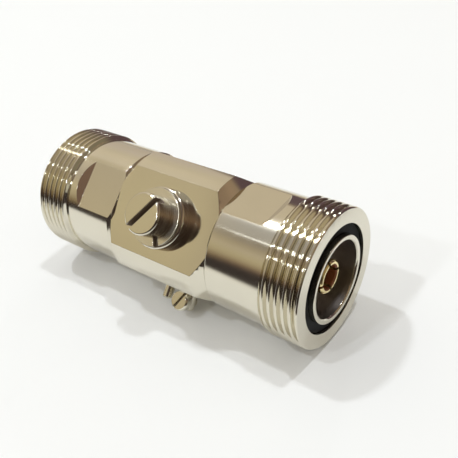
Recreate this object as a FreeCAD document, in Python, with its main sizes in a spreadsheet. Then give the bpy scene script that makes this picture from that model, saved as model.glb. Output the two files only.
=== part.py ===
"""Coaxial lightning arrestor, in line, socket to socket, with a replaceable gas tube.

The line runs along X. The origin is the middle of the near connector's mating face, the rest
of the line runs back along -X, and the arrestor lies on a table the way it comes to rest:
on a rounded corner of its centre block and the end of its earth post. All lengths are
millimetres.
"""
import FreeCAD, Part
import os
import re

import Sketcher

SIZES = {
    # end connectors, both the same
    "shell_length": 22.0,
    "thread_major": 29.0,
    "thread_length": 8.4,
    "thread_lead_in": 0.6,
    "thread_run_out": 0.5,
    "thread_depth": 0.9,
    "barrel_chamfer": 0.5,
    "wrench_flat_depth": 1.1,
    "flat_length": 9.7,
    "flat_run_out": 1.7,
    "near_flat_turn": 85.0,
    "far_flat_turn": 45.0,
    "line_bore": 16.0,
    "sleeve_wall": 1.1,
    "sleeve_proud": 0.4,
    "sleeve_chamfer": 0.25,
    "groove_width": 2.2,
    "groove_depth": 4.5,
    "gasket_recess": 0.7,
    "spigot_wall": 1.4,
    "spigot_length": 6.0,
    # what the connectors hold
    "bead_shoulder": 0.6,
    "bead_depth": 12.0,
    "bead_length": 5.0,
    "contact_diameter": 7.0,
    "contact_bore": 5.0,
    "contact_recess": 1.2,
    "contact_bore_depth": 9.0,
    "contact_chamfer": 0.3,
    "contact_neck": 5.0,
    "contact_slot": 0.6,
    "contact_slot_length": 7.0,
    "stud_diameter": 3.0,
    "stud_length": 4.0,
    "stud_hole_spare": 0.5,
    # centre block
    "block_length": 26.0,
    "block_diameter": 30.2,
    "port_flat_depth": 2.8,
    "earth_flat_depth": 2.2,
    "block_chamfer": 2.1,
    "block_turn": 39.0,
    "seal_section": 1.0,
    # gas tube on the inner conductor
    "tube_seat_depth": 0.5,
    "tube_seat_spare": 0.4,
    "tube_diameter": 8.0,
    "tube_height": 6.0,
    "electrode_thickness": 1.0,
    "ceramic_diameter": 7.6,
    "ceramic_bore": 5.0,
    "pedestal_diameter": 3.4,
    "spark_gap": 0.8,
    # port with the cap screw
    "port_offset": 0.6,
    "boss_diameter": 12.8,
    "boss_height": 2.4,
    "boss_chamfer": 0.3,
    "bushing_shank": 10.6,
    "bushing_depth": 3.9,
    "bushing_wall": 2.0,
    "cap_thread": 6.0,
    "cap_washer_diameter": 12.0,
    "cap_washer_thickness": 0.9,
    "cap_washer_gap": 1.1,
    "cap_washer_turn": -64.0,
    "cap_head_diameter": 8.6,
    "cap_head_height": 4.2,
    "cap_head_chamfer": 0.3,
    "cap_slot_width": 1.1,
    "cap_slot_depth": 1.9,
    "cap_slot_turn": 56.0,
    "spring_height": 1.4,
    "spring_outer": 6.2,
    "spring_inner": 2.6,
    "spring_thickness": 0.4,
    # earth terminal
    "post_offset": 4.4,
    "post_diameter": 3.4,
    "post_height": 4.6,
    "post_chamfer": 0.3,
    "post_flange_diameter": 4.6,
    "post_flange_thickness": 0.5,
    "post_flats": 2.8,
    "post_thread": 3.0,
    "post_thread_length": 3.0,
    "earth_screw_height": 2.9,
    "earth_thread": 2.0,
    "earth_shank_length": 4.4,
    "earth_head_diameter": 4.3,
    "earth_head_height": 1.6,
    "earth_head_chamfer": 0.3,
    "earth_slot_width": 0.6,
    "earth_slot_depth": 0.7,
    "earth_slot_turn": 64.0,
    "earth_washer_diameter": 4.0,
    "earth_washer_thickness": 0.5,
    "earth_washer_gap": 0.5,
    "pin_offset": -1.2,
    "pin_diameter": 2.3,
    "pin_height": 4.1,
    "pin_depth": 2.5,
    "pin_chamfer": 0.3,
    # clearances
    "thread_fit": 0.05,
    "slip_fit": 0.03,
    "loose_fit": 0.2,
}

doc = FreeCAD.newDocument("coax_lightning_arrestor")
sheet = doc.addObject("Spreadsheet::Sheet", "sizes")
for row, (alias, value) in enumerate(SIZES.items(), start=1):
    sheet.set(f"A{row}", alias)
    sheet.set(f"B{row}", str(value))
    sheet.setAlias(f"B{row}", alias)
doc.recompute()

# Lengths that follow from the driving ones, measured along the line from a mating face
# or outwards from the line's axis.
DERIVED = {
    "barrel_radius": "thread_major / 2 - thread_depth",
    "wrench_flat": "barrel_radius - wrench_flat_depth",
    "sleeve_radius": "line_bore / 2 + sleeve_wall",
    "groove_radius": "sleeve_radius + groove_width",
    "bead_radius": "line_bore / 2 + bead_shoulder",
    "spigot_radius": "bead_radius + spigot_wall",
    "half_line": "shell_length + block_length / 2",
    "bead_end": "bead_depth + bead_length",
    "spigot_end": "shell_length + spigot_length",
    "block_radius": "block_diameter / 2",
    "face_out": "block_radius - port_flat_depth",
    "earth_out": "block_radius - earth_flat_depth",
    "boss_top": "face_out + boss_height",
    "washer_top": "boss_top + cap_washer_thickness",
    "tube_seat": "contact_diameter / 2 - tube_seat_depth",
    "tube_top": "tube_seat + tube_height",
    "cap_foot": "tube_top + spring_height",
    "cap_shank_length": "washer_top - cap_foot",
    "bushing_foot": "face_out - bushing_depth",
    "bushing_roof": "boss_top - bushing_wall",
    "post_side": "post_flats / 2",
    "earth_seat": "post_side + earth_washer_thickness",
    "block_tilt": "90 - block_turn",
}


def bound(text):
    """Turns plain size names into an expression on the sheet, working out derived lengths."""
    while True:
        wider = re.sub(r"\b[a-z_]+\b", lambda m: f"({DERIVED[m[0]]})" if m[0] in DERIVED else m[0], text)
        if wider == text:
            break
        text = wider
    return re.sub(r"\b[a-z][a-z_]*\b", lambda m: f"sizes.{m[0]}" if m[0] in SIZES else m[0], text)


pieces = []


def add_piece(kind, label):
    piece = doc.addObject(kind, label)
    piece.Label = label
    pieces.append(piece)
    return piece


def origin_plane(body, role):
    return next(item for item in body.Origin.OriginFeatures if item.Role == role)


def add_sketch(body, role, outlines):
    """A sketch of closed outlines; each corner's two coordinates are bound to the sheet."""
    sketch = body.newObject("Sketcher::SketchObject", f"{body.Name}_sketch")
    sketch.AttachmentSupport = [(origin_plane(body, role), "")]
    sketch.MapMode = "FlatFace"
    for outline in outlines:
        first = sketch.GeometryCount
        corners = [tuple(bound(part) for part in corner) for corner in outline]
        spots = [tuple(float(sheet.evalExpression(part)) for part in corner) for corner in corners]
        count = len(spots)
        for index in range(count):
            start = FreeCAD.Vector(*spots[index], 0)
            end = FreeCAD.Vector(*spots[(index + 1) % count], 0)
            sketch.addGeometry(Part.LineSegment(start, end), False)
        for index in range(count):
            line = first + index
            following = first + (index + 1) % count
            sketch.addConstraint(Sketcher.Constraint("Coincident", line, 2, following, 1))
            for kind, value, text in zip(("DistanceX", "DistanceY"), spots[index], corners[index]):
                number = sketch.addConstraint(Sketcher.Constraint(kind, -1, 1, line, 1, value))
                sketch.setExpression(f"Constraints[{number}]", text)
    return sketch


def turned(label, outline, axis="X"):
    """A body turned about its X axis from (along, radius) corners, or about Z from (radius, up)."""
    body = add_piece("PartDesign::Body", label)
    sketch = add_sketch(body, "XZ_Plane", [outline])
    revolution = body.newObject("PartDesign::Revolution", f"{label}_turned")
    revolution.Profile = sketch
    revolution.ReferenceAxis = (sketch, ["H_Axis" if axis == "X" else "V_Axis"])
    revolution.Angle = 360.0
    sketch.Visibility = False
    doc.recompute()
    return body


def cut_through(body, role, outlines):
    """Cuts the outlines right through the body, both ways from the sketch plane."""
    before = body.Shape.Volume
    sketch = add_sketch(body, role, outlines)
    pocket = body.newObject("PartDesign::Pocket", f"{body.Name}_cut")
    pocket.Profile = sketch
    pocket.Midplane = True
    pocket.Type = "ThroughAll"
    sketch.Visibility = False
    doc.recompute()
    if body.Shape.Volume >= before:
        raise RuntimeError(f"{body.Label}: a cut removed nothing")


def place(item, along="0", across="0", out="0", tilt="0", spin="0"):
    """Turns the item by spin about its Z, tilts it about X and seats it in the tilted frame."""
    angle = f"({bound(tilt)}) * 1 deg"
    across_text, out_text = bound(across), bound(out)
    y = f"({across_text}) * cos({angle}) - ({out_text}) * sin({angle})"
    z = f"({across_text}) * sin({angle}) + ({out_text}) * cos({angle})"
    item.setExpression("Placement", (
        f"create(<<placement>>; create(<<vector>>; {bound(along)}; {y}; {z}); "
        f"create(<<rotation>>; create(<<vector>>; 1; 0; 0); {angle}) * "
        f"create(<<rotation>>; create(<<vector>>; 0; 0; 1); ({bound(spin)}) * 1 deg))"))


def box(x0, x1, y0, y1):
    return [(x0, y0), (x1, y0), (x1, y1), (x0, y1)]


def mirrored(outline, way):
    """Corners of a connector piece: way is -1 for the near one, whose depth runs along -X."""
    return [(f"{way} * ({along})", radius) for along, radius in outline]


def connector_shell(label, way):
    """Threaded barrel with two wrench flats, gasket groove, contact sleeve and rear spigot."""
    body = turned(label, mirrored([
        ("0", "groove_radius"),
        ("0", "thread_major / 2 - thread_lead_in"),
        ("thread_lead_in", "thread_major / 2"),
        ("thread_length", "thread_major / 2"),
        ("thread_length + thread_run_out", "barrel_radius"),
        ("shell_length - barrel_chamfer", "barrel_radius"),
        ("shell_length", "barrel_radius - barrel_chamfer"),
        ("shell_length", "spigot_radius"),
        ("spigot_end", "spigot_radius"),
        ("spigot_end", "bead_radius + slip_fit"),
        ("bead_depth", "bead_radius + slip_fit"),
        ("bead_depth", "line_bore / 2"),
        ("sleeve_chamfer - sleeve_proud", "line_bore / 2"),
        ("-sleeve_proud", "line_bore / 2 + sleeve_chamfer"),
        ("-sleeve_proud", "sleeve_radius"),
        ("groove_depth", "sleeve_radius"),
        ("groove_depth", "groove_radius"),
    ], way))
    flat = [
        ("shell_length + thread_lead_in", "wrench_flat"),
        ("shell_length - flat_length", "wrench_flat"),
        ("shell_length - flat_length - flat_run_out", "barrel_radius"),
        ("shell_length - flat_length - flat_run_out", "thread_major / 2"),
        ("shell_length + thread_lead_in", "thread_major / 2"),
    ]
    opposite = [(along, f"-({height})") for along, height in flat]
    cut_through(body, "XZ_Plane", [mirrored(flat, way), mirrored(opposite, way)])
    return body


def groove_gasket(label, way):
    return turned(label, mirrored([
        ("gasket_recess", "sleeve_radius + slip_fit"),
        ("gasket_recess", "groove_radius - slip_fit"),
        ("groove_depth", "groove_radius - slip_fit"),
        ("groove_depth", "sleeve_radius + slip_fit"),
    ], way))


def insulator_bead(label, way):
    return turned(label, mirrored([
        ("bead_depth", "contact_neck / 2 + slip_fit"),
        ("bead_depth", "bead_radius"),
        ("bead_end", "bead_radius"),
        ("bead_end", "contact_neck / 2 + slip_fit"),
    ], way))


def spacer_sleeve(label, way):
    """Tube that clamps the bead against its shoulder and carries on the line's bore."""
    return turned(label, mirrored([
        ("bead_end", "line_bore / 2"),
        ("bead_end", "bead_radius"),
        ("spigot_end", "bead_radius"),
        ("spigot_end", "line_bore / 2"),
    ], way))


def socket_contact(label, way):
    """Slotted socket with a neck through the bead and a threaded stud behind it."""
    body = turned(label, mirrored([
        ("contact_recess", "contact_bore / 2 + contact_chamfer"),
        ("contact_recess", "contact_diameter / 2 - contact_chamfer"),
        ("contact_recess + contact_chamfer", "contact_diameter / 2"),
        ("bead_depth", "contact_diameter / 2"),
        ("bead_depth", "contact_neck / 2"),
        ("bead_end", "contact_neck / 2"),
        ("bead_end", "stud_diameter / 2"),
        ("bead_end + stud_length", "stud_diameter / 2"),
        ("bead_end + stud_length", "0"),
        ("contact_recess + contact_bore_depth", "0"),
        ("contact_recess + contact_bore_depth", "contact_bore / 2"),
        ("contact_recess + contact_chamfer", "contact_bore / 2"),
    ], way))
    slot = box("contact_recess - contact_chamfer", "contact_recess + contact_slot_length",
               "-contact_slot / 2", "contact_slot / 2")
    for role in ("XZ_Plane", "XY_Plane"):
        cut_through(body, role, [mirrored(slot, way)])
    return body


def joint_seal(label, way):
    """Flat ring on the spigot, between the shell's shoulder and the recess in the block."""
    inner = "spigot_radius + slip_fit"
    return turned(label, mirrored(
        box("shell_length", "shell_length + seal_section", inner, f"{inner} + seal_section"), way))


def seat_connector(side, way):
    """The six pieces of one end; way is -1 near, 1 far."""
    face = "0" if side == "near" else "-2 * half_line"
    for make, name in ((connector_shell, "connector_shell"), (groove_gasket, "groove_gasket"),
                       (insulator_bead, "insulator_bead"), (spacer_sleeve, "spacer_sleeve"),
                       (socket_contact, "socket_contact"), (joint_seal, "joint_seal")):
        place(make(f"{side}_{name}", way), along=face, tilt=f"90 - {side}_flat_turn")


def centre_block():
    """Round bar with two pairs of flats, turned chamfers, bored ends and three holes in its flats."""
    end = "block_length / 2"
    socket = "spigot_radius + thread_fit"
    recess = "spigot_radius + seal_section + 2 * slip_fit"
    half = [
        (f"{end} - spigot_length", "line_bore / 2"),
        (f"{end} - spigot_length", socket),
        (f"{end} - seal_section", socket),
        (f"{end} - seal_section", recess),
        (end, recess),
        (end, "block_radius - block_chamfer"),
        (f"{end} - block_chamfer", "block_radius"),
    ]
    other = [(f"-({along})", radius) for along, radius in reversed(half)]
    body = turned("centre_block", half + other)
    rim = "block_diameter"
    for role, flat in (("XZ_Plane", "face_out"), ("XY_Plane", "earth_out")):
        cut_through(body, role, [box(f"-{end}", end, flat, rim),
                                 box(f"-{end}", end, f"-{rim}", f"-{flat}")])
    drill(body, "XY_Plane", "port_offset", "bushing_shank / 2 + thread_fit", "0", "face_out")
    # the XZ plane faces -Y, which is the side of the earth post
    drill(body, "XZ_Plane", "post_offset", "post_thread / 2 + slip_fit",
          "earth_out - post_thread_length - stud_hole_spare", "earth_out")
    drill(body, "XZ_Plane", "pin_offset", "pin_diameter / 2 + slip_fit",
          "earth_out - pin_depth", "earth_out")
    place(body, along="-half_line", tilt="block_tilt")
    return body


def add_circle(body, role, along, up, radius):
    """A sketch of one circle, its centre and radius bound to the sheet."""
    sketch = body.newObject("Sketcher::SketchObject", f"{body.Name}_circle")
    sketch.AttachmentSupport = [(origin_plane(body, role), "")]
    sketch.MapMode = "FlatFace"
    texts = [bound(part) for part in (along, up, radius)]
    x, y, size = (float(sheet.evalExpression(part)) for part in texts)
    sketch.addGeometry(Part.Circle(FreeCAD.Vector(x, y, 0), FreeCAD.Vector(0, 0, 1), size), False)
    for rule, text in ((("DistanceX", -1, 1, 0, 3, x), texts[0]),
                       (("DistanceY", -1, 1, 0, 3, y), texts[1]),
                       (("Radius", 0, size), texts[2])):
        number = sketch.addConstraint(Sketcher.Constraint(*rule))
        sketch.setExpression(f"Constraints[{number}]", text)
    sketch.Visibility = False
    return sketch


def drill(body, role, along, radius, floor, surface):
    """A round hole between two distances from the line's axis, on the side the plane faces."""
    before = body.Shape.Volume
    sketch = add_circle(body, role, along, "0", radius)
    sketch.setExpression("AttachmentOffset.Base.z", bound(floor))
    pocket = body.newObject("PartDesign::Pocket", f"{body.Name}_drilled")
    pocket.Profile = sketch
    pocket.Type = "Length"
    pocket.Reversed = True
    pocket.setExpression("Length", bound(f"{surface} - ({floor})"))
    doc.recompute()
    if body.Shape.Volume >= before:
        raise RuntimeError(f"{body.Label}: a hole removed nothing")


def inner_conductor():
    """Rod between the two contacts, tapped at both ends, with a flat seat for the gas tube."""
    end = "half_line - bead_end"
    hole = f"{end} - stud_length - stud_hole_spare"
    body = turned("inner_conductor", [
        (f"-({end})", "stud_diameter / 2 + slip_fit"),
        (f"-({end})", "contact_diameter / 2"),
        (end, "contact_diameter / 2"),
        (end, "stud_diameter / 2 + slip_fit"),
        (hole, "stud_diameter / 2 + slip_fit"),
        (hole, "0"),
        (f"-({hole})", "0"),
        (f"-({hole})", "stud_diameter / 2 + slip_fit"),
    ])
    reach = "tube_diameter / 2 + tube_seat_spare"
    cut_through(body, "XZ_Plane", [box(f"port_offset - ({reach})", f"port_offset + {reach}",
                                       "tube_seat", "contact_diameter")])
    place(body, along="-half_line", tilt="block_tilt")


def seat_on_port(item, spin="0"):
    place(item, along="port_offset - half_line", tilt="block_tilt", spin=spin)


def gas_tube():
    """Ceramic tube closed by two electrodes whose pedestals face each other across the gap."""
    middle = "tube_seat + tube_height / 2"
    lower = [
        ("0", "tube_seat"),
        ("tube_diameter / 2", "tube_seat"),
        ("tube_diameter / 2", "tube_seat + electrode_thickness"),
        ("pedestal_diameter / 2", "tube_seat + electrode_thickness"),
        ("pedestal_diameter / 2", f"{middle} - spark_gap / 2"),
        ("0", f"{middle} - spark_gap / 2"),
    ]
    upper = [(radius, f"2 * ({middle}) - ({height})") for radius, height in lower]
    seat_on_port(turned("gas_tube_line_electrode", lower, axis="Z"))
    seat_on_port(turned("gas_tube_cap_electrode", upper, axis="Z"))
    seat_on_port(turned("gas_tube_ceramic", box(
        "ceramic_bore / 2", "ceramic_diameter / 2",
        "tube_seat + electrode_thickness", "tube_top - electrode_thickness"), axis="Z"))


def contact_spring():
    """Dished spring between the gas tube and the foot of the cap screw."""
    seat_on_port(turned("contact_spring", [
        ("spring_outer / 2", "tube_top"),
        ("spring_outer / 2", "tube_top + spring_thickness"),
        ("spring_inner / 2", "cap_foot - slip_fit"),
        ("spring_inner / 2", "cap_foot - slip_fit - spring_thickness"),
    ], axis="Z"))


def port_bushing():
    """Round boss screwed into the flat; it guides the gas tube and takes the cap screw."""
    body = turned("port_bushing", [
        ("cap_thread / 2 + thread_fit", "boss_top"),
        ("cap_thread / 2 + thread_fit", "bushing_roof"),
        ("tube_diameter / 2 + loose_fit", "bushing_roof"),
        ("tube_diameter / 2 + loose_fit", "bushing_foot"),
        ("bushing_shank / 2", "bushing_foot"),
        ("bushing_shank / 2", "face_out"),
        ("boss_diameter / 2", "face_out"),
        ("boss_diameter / 2", "boss_top - boss_chamfer"),
        ("boss_diameter / 2 - boss_chamfer", "boss_top"),
    ], axis="Z")
    seat_on_port(body)


def split_washer(label, bore, outer, thickness, gap):
    """Spring washer lying on its own XY plane, with its gap towards +X."""
    body = turned(label, box(f"({bore}) / 2", f"({outer}) / 2", "0", thickness), axis="Z")
    cut_through(body, "XY_Plane", [box("0", outer, f"-({gap}) / 2", f"({gap}) / 2")])
    return body


def slotted_screw(label, kind):
    """Screw with its head seat at z = 0, its shank below and a slot along X in its head."""
    thread, shank = f"{kind}_thread / 2", f"{kind}_shank_length"
    head, height = f"{kind}_head_diameter / 2", f"{kind}_head_height"
    chamfer, slot = f"{kind}_head_chamfer", f"{kind}_slot_width / 2"
    body = turned(label, [
        ("0", f"-{shank}"),
        (f"{thread} - {chamfer}", f"-{shank}"),
        (thread, f"{chamfer} - {shank}"),
        (thread, "0"),
        (head, "0"),
        (head, f"{height} - {chamfer}"),
        (f"{head} - {chamfer}", height),
        ("0", height),
    ], axis="Z")
    slot_floor = f"{height} - {kind}_slot_depth"
    cut_through(body, "YZ_Plane", [box(f"-{slot}", slot, slot_floor, f"{height} + {kind}_slot_depth")])
    return body


def cap_screw():
    """Slotted screw that holds the gas tube down, with its spring washer."""
    washer = split_washer("cap_spring_washer", "cap_thread + 2 * loose_fit", "cap_washer_diameter",
                          "cap_washer_thickness", "cap_washer_gap")
    place(washer, along="port_offset - half_line", out="boss_top", tilt="block_tilt",
          spin="cap_washer_turn")
    screw = slotted_screw("cap_screw", "cap")
    place(screw, along="port_offset - half_line", out="washer_top", tilt="block_tilt",
          spin="cap_slot_turn")


def earth_post():
    """Pillar screwed into the lower flat, with two side flats and a tapped cross hole."""
    top = "earth_out + post_height"
    flange_top = "earth_out + post_flange_thickness"
    body = turned("earth_post", [
        ("0", "earth_out - post_thread_length"),
        ("post_thread / 2", "earth_out - post_thread_length"),
        ("post_thread / 2", "earth_out"),
        ("post_flange_diameter / 2", "earth_out"),
        ("post_flange_diameter / 2", flange_top),
        ("post_diameter / 2", flange_top),
        ("post_diameter / 2", f"{top} - post_chamfer"),
        ("post_diameter / 2 - post_chamfer", top),
        ("0", top),
    ], axis="Z")
    foot, rim = f"{flange_top} + loose_fit", "post_diameter"
    cut_through(body, "YZ_Plane", [
        box("post_side", rim, foot, f"{top} + loose_fit"),
        box(f"-{rim}", "-post_side", foot, f"{top} + loose_fit")])
    cross_bore(body, "earth_out + earth_screw_height", "earth_thread / 2 + thread_fit")
    place(body, along="post_offset - half_line", tilt="block_tilt + 90")


def cross_bore(body, height, radius):
    """A round hole right through the body along Y, at a height on its Z axis."""
    before = body.Shape.Volume
    sketch = add_circle(body, "XZ_Plane", "0", height, radius)
    pocket = body.newObject("PartDesign::Pocket", f"{body.Name}_cross_bore")
    pocket.Profile = sketch
    pocket.Midplane = True
    pocket.Type = "ThroughAll"
    doc.recompute()
    if body.Shape.Volume >= before:
        raise RuntimeError(f"{body.Label}: the cross hole removed nothing")


def earth_screw():
    """Slotted clamp screw across the post, on a spring washer."""
    height = "-(earth_out + earth_screw_height)"
    washer = split_washer("earth_spring_washer", "earth_thread + 2 * thread_fit",
                          "earth_washer_diameter", "earth_washer_thickness", "earth_washer_gap")
    place(washer, along="post_offset - half_line", across=height, out="post_side",
          tilt="block_tilt", spin="earth_slot_turn + 90")
    screw = slotted_screw("earth_screw", "earth")
    place(screw, along="post_offset - half_line", across=height, out="earth_seat",
          tilt="block_tilt", spin="earth_slot_turn")


def locating_pin():
    """Plain pin pressed in beside the earth post; it stops an earth lug from turning."""
    foot, top = "earth_out - pin_depth", "earth_out + pin_height"
    body = turned("locating_pin", [
        ("0", foot),
        ("pin_diameter / 2", foot),
        ("pin_diameter / 2", f"{top} - pin_chamfer"),
        ("pin_diameter / 2 - pin_chamfer", top),
        ("0", top),
    ], axis="Z")
    place(body, along="pin_offset - half_line", tilt="block_tilt + 90")


def export_pieces():
    """Stops on any failed object, then writes one STEP file for each piece."""
    doc.recompute()
    for item in doc.Objects:
        if "Invalid" in item.State or "Error" in item.State:
            raise RuntimeError(f"{item.Label} failed: {item.State}")
    os.makedirs("parts", exist_ok=True)
    for piece in pieces:
        shape = piece.Shape
        if shape.isNull() or not shape.isValid() or len(shape.Solids) != 1:
            raise RuntimeError(f"{piece.Label} isn't one valid solid")
        shape.exportStep(f"parts/{piece.Label}.step")
        span = shape.BoundBox
        print(f"{piece.Label}: {shape.Volume:.2f} mm3, z {span.ZMin:.2f} to {span.ZMax:.2f}")


seat_connector("near", -1)
seat_connector("far", 1)
centre_block()
inner_conductor()
gas_tube()
contact_spring()
port_bushing()
cap_screw()
earth_post()
earth_screw()
locating_pin()
export_pieces()
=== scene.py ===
"""Looks of the coaxial lightning arrestor: threads, plating, rubber, insulators and the stage."""

import math

import bmesh
import bpy
from bpy.props import FloatProperty, FloatVectorProperty, IntProperty, PointerProperty
from mathutils import Matrix, Vector


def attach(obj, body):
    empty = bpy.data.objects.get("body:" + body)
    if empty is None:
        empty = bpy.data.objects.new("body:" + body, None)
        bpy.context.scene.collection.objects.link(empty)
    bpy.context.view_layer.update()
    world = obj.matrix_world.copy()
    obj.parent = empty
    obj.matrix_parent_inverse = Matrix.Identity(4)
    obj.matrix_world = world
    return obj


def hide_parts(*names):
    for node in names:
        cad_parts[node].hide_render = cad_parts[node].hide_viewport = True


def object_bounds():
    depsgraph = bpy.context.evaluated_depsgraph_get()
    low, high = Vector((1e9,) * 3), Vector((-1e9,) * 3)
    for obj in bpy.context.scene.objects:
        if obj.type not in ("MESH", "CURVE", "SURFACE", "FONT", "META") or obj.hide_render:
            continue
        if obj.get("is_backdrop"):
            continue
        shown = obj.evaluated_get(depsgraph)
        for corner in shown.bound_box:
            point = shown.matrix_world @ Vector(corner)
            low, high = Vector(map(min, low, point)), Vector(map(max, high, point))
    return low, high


bl_info = {
    "name": "Lightning arrestor looks",
    "version": (1, 0, 0),
    "blender": (4, 5, 0),
    "location": "3D View > Sidebar > Arrestor",
    "description": "Cuts the coupling threads, plates the pieces and sets the table and lamps",
    "category": "Object",
}

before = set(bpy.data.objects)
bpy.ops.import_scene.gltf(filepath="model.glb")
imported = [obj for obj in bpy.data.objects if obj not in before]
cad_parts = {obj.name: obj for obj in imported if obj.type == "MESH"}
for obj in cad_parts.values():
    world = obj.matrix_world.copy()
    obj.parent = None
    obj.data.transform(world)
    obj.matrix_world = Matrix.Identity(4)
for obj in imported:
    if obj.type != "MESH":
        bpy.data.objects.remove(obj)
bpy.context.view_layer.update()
MM = 0.001

# The line, as the part's source has it, in millimetres and degrees.
LINE_LENGTH = 70.0
FLAT_TURN = {"near": 85.0, "far": 45.0}
PORT_RISE = 39.0
CAP_PLACE = -34.4

PORT_WAY = Vector((0.0, -math.cos(math.radians(PORT_RISE)), math.sin(math.radians(PORT_RISE))))
PORT_UP = Vector((0.0, math.sin(math.radians(PORT_RISE)), math.cos(math.radians(PORT_RISE))))

# Heights over the line in the port's direction, turns and half widths of what lies in the port:
# the cap's slot, the split washer's gap and the bushing's top under the washer, which all get
# painted shade.
WASHER_FOOT, WASHER_FACES, WASHER_GAP_TURN, WASHER_GAP_HALF = 14.65, (14.72, 15.58), -64.0, 0.58
CAP_SHANK_TOP, CAP_SLOT_FACES, CAP_SLOT_TURN, CAP_SLOT_HALF = 15.5, (17.8, 19.7), 56.0, 0.57
WASHER_GAP_FROM = 1.0
# Radius inside which a contact's faces get painted shade, in millimetres.
CONTACT_BORE = 2.7
SPRING_SHARE = 0.96

# A connector shell, by depth behind its mating face and radius: how its thread starts and ends,
# the rest of its outline from there to the face, and the outline of what the flats take off.
FADE_IN, FADE_IN_LENGTH, LEAD_IN = 0.15, 0.5, 0.25
THREAD_LENGTH, RUN_OUT, BARREL_DROP = 8.4, 0.5, 0.9
RUN_OUT_END = THREAD_LENGTH + RUN_OUT
SHELL_OUTLINE = ((8.9, 13.6), (9.0, 13.6), (9.2, 13.6), (21.5, 13.6), (22.0, 13.1), (22.0, 10.0),
                 (28.0, 10.0), (28.0, 8.63), (12.0, 8.63), (12.0, 8.0), (-0.15, 8.0), (-0.4, 8.25),
                 (-0.4, 9.1), (4.5, 9.1), (4.5, 11.3), (0.0, 11.3), (0.0, 14.25))
FLAT_OUTLINE = ((22.6, 12.5), (12.3, 12.5), (10.6, 13.6), (10.6, 15.0), (22.6, 15.0))
CUTTER_REACH = 16.0
PLAIN_FROM, FLAT_DEPTHS, FLAT_RADII = 9.25, (10.3, 22.1), (12.4, 13.7)
# Radius above which faces take the thread finish, and radius and depth inside which they take the
# darker nickel that paints the bores' shade.
THREAD_INNER, BORE_OUTER, BORE_START = 12.9, 8.7, 0.3
THREAD_FACES, THREAD_VERTICES = (0.02, RUN_OUT_END), (0.01, RUN_OUT_END + 0.02)

# Broken edges, in millimetres, and the angle from which two faces count as an edge, in degrees.
BLOCK_EDGE, PORT_EDGE, CONTACT_EDGE, GASKET_EDGE, FLAT_EDGE = 0.16, 0.12, 0.08, 0.25, 0.10
POST_EDGE, PIN_EDGE, SMALL_WASHER_EDGE, SMALL_SCREW_EDGE = 0.06, 0.08, 0.05, 0.10
CORNER_ARC, ARC_LIMIT, ARC_SHARES = 0.12, 0.45, (0.0, 0.33, 0.67, 1.0)
EDGE_ANGLE, FLAT_EDGE_ANGLE = 24.0, 6.0

# Angles up to which faces are shaded as one and up to which they are merged, in degrees, and
# distances up to which vertices are merged, in metres.
SMOOTH_ANGLE, SHELL_SMOOTH_ANGLE = 32.0, 50.0
NODE_FLATNESS, CUT_FLATNESS = 0.6, 0.2
NODE_MERGE, TURNED_MERGE, CUT_MERGE = 2e-6, 1e-7, 1e-6

# Ceiling lamps, whose shadows cross on the table and whose dots run along the threads: angle
# up from the front, seen along the line, lean to the right, and side, in metres. The metal
# also mirrors a wider glow round each of them.
LAMP_DISTANCE = 2.0
CEILING_LAMPS = ((38.7, -0.18, 0.069), (56.7, -0.23, 0.088), (90.0, -0.426, 0.107),
                 (100.5, 0.127, 0.103), (150.5, -0.27, 0.04))
GLOW_SIDE, GLOW_SHARE, GLOW_BEHIND = 0.16, 0.16, 0.02
# Thin light seams in the ceiling, which the metal alone mirrors as lines along the barrel: angle
# up, lean, length, width and share of the lamps' radiance.
SEAMS = ((57.0, -0.455, 0.28, 0.020, 0.019), (92.0, -0.53, 0.50, 0.030, 0.030))

# What the metal mirrors, as (share of the way, colour) stops. The first two run from the
# front over the top to the back; the other two run up the walls.
OVERHEAD_LEFT = (
    (0.0, (0.12, 0.085, 0.055)), (0.04, (0.30, 0.225, 0.125)), (0.10, (0.50, 0.42, 0.27)),
    (0.19, (0.645, 0.56, 0.37)), (0.264, (0.58, 0.50, 0.36)), (0.33, (0.55, 0.49, 0.40)),
    (0.50, (0.66, 0.58, 0.45)), (0.56, (0.60, 0.52, 0.37)), (0.61, (0.76, 0.675, 0.54)),
    (0.70, (0.76, 0.67, 0.52)), (0.75, (0.70, 0.62, 0.48)), (0.84, (0.65, 0.57, 0.49)),
    (0.93, (0.60, 0.52, 0.42)), (1.0, (0.55, 0.50, 0.45)))
OVERHEAD_MIDDLE = (
    (0.0, (0.055, 0.044, 0.042)), (0.03, (0.12, 0.085, 0.065)), (0.05, (0.24, 0.17, 0.115)),
    (0.09, (0.46, 0.374, 0.234)), (0.13, (0.55, 0.474, 0.307)), (0.18, (0.536, 0.461, 0.329)),
    (0.23, (0.407, 0.336, 0.224)), (0.275, (0.30, 0.25, 0.195)), (0.31, (0.32, 0.27, 0.21)),
    (0.335, (0.47, 0.44, 0.40)), (0.45, (0.50, 0.48, 0.46)), (0.49, (0.69, 0.61, 0.47)),
    (0.82, (0.68, 0.59, 0.455)), (0.93, (0.65, 0.57, 0.43)), (1.0, (0.63, 0.60, 0.48)))
RIGHT_WALL = (
    (0.0, (0.20, 0.165, 0.125)), (0.13, (0.24, 0.215, 0.145)), (0.35, (0.26, 0.22, 0.155)),
    (0.60, (0.38, 0.27, 0.18)), (0.75, (0.22, 0.155, 0.11)), (0.95, (0.10, 0.065, 0.055)))
FRONT_RIGHT = (
    (0.0, (0.035, 0.022, 0.018)), (0.45, (0.050, 0.033, 0.027)), (0.60, (0.13, 0.085, 0.065)),
    (0.70, (0.23, 0.145, 0.105)), (0.95, (0.12, 0.08, 0.065)))
BACK_RIGHT = (0.13, 0.085, 0.095)

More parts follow.
